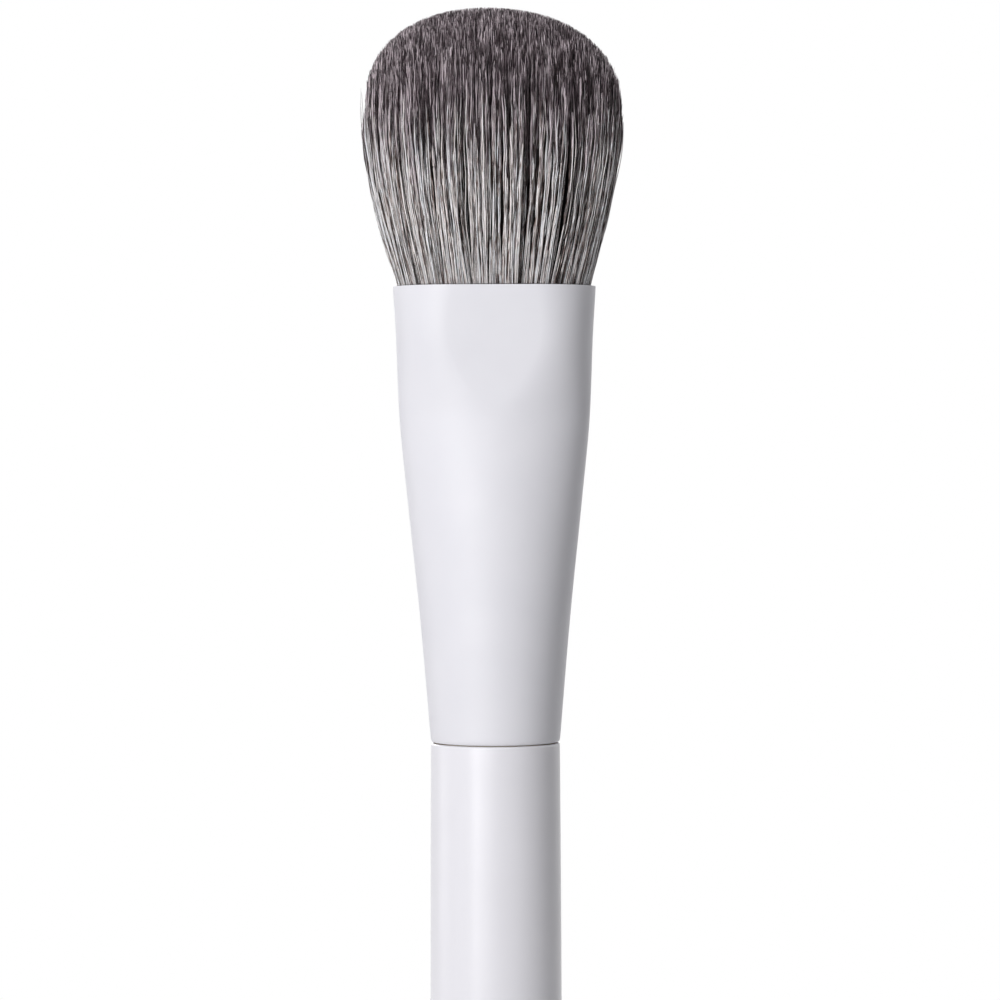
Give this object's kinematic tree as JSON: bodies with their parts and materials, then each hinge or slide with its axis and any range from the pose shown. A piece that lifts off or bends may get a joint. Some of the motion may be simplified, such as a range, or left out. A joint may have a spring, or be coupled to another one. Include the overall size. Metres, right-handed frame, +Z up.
{
  "type": "makeup brush",
  "caption": "Makeup brush with a full domed head of hair, a drawn metal ferrule that turns from round to flat sided oval, and a straight turned handle.",
  "frame": {"origin": "centre of the handle's flat end, which the brush stands on", "axes": "+Z up along the brush towards the hair, +X across the broad side of the ferrule, +Y through its thin side; the pictured side faces -Y"},
  "size_m": [0.0302, 0.0194, 0.178],
  "materials": {
    "hair": "satin",
    "thread": "matte",
    "resin": "gloss",
    "satin_coat": "satin",
    "adhesive": "satin",
    "lacquer": "gloss"
  },
  "bodies": {
    "root": {"hair_tuft": "hair", "binding_thread": "thread", "root_glue_plug": "resin", "ferrule": "satin_coat", "tenon_glue": "adhesive", "handle": "lacquer"}
  },
  "joints": []
}
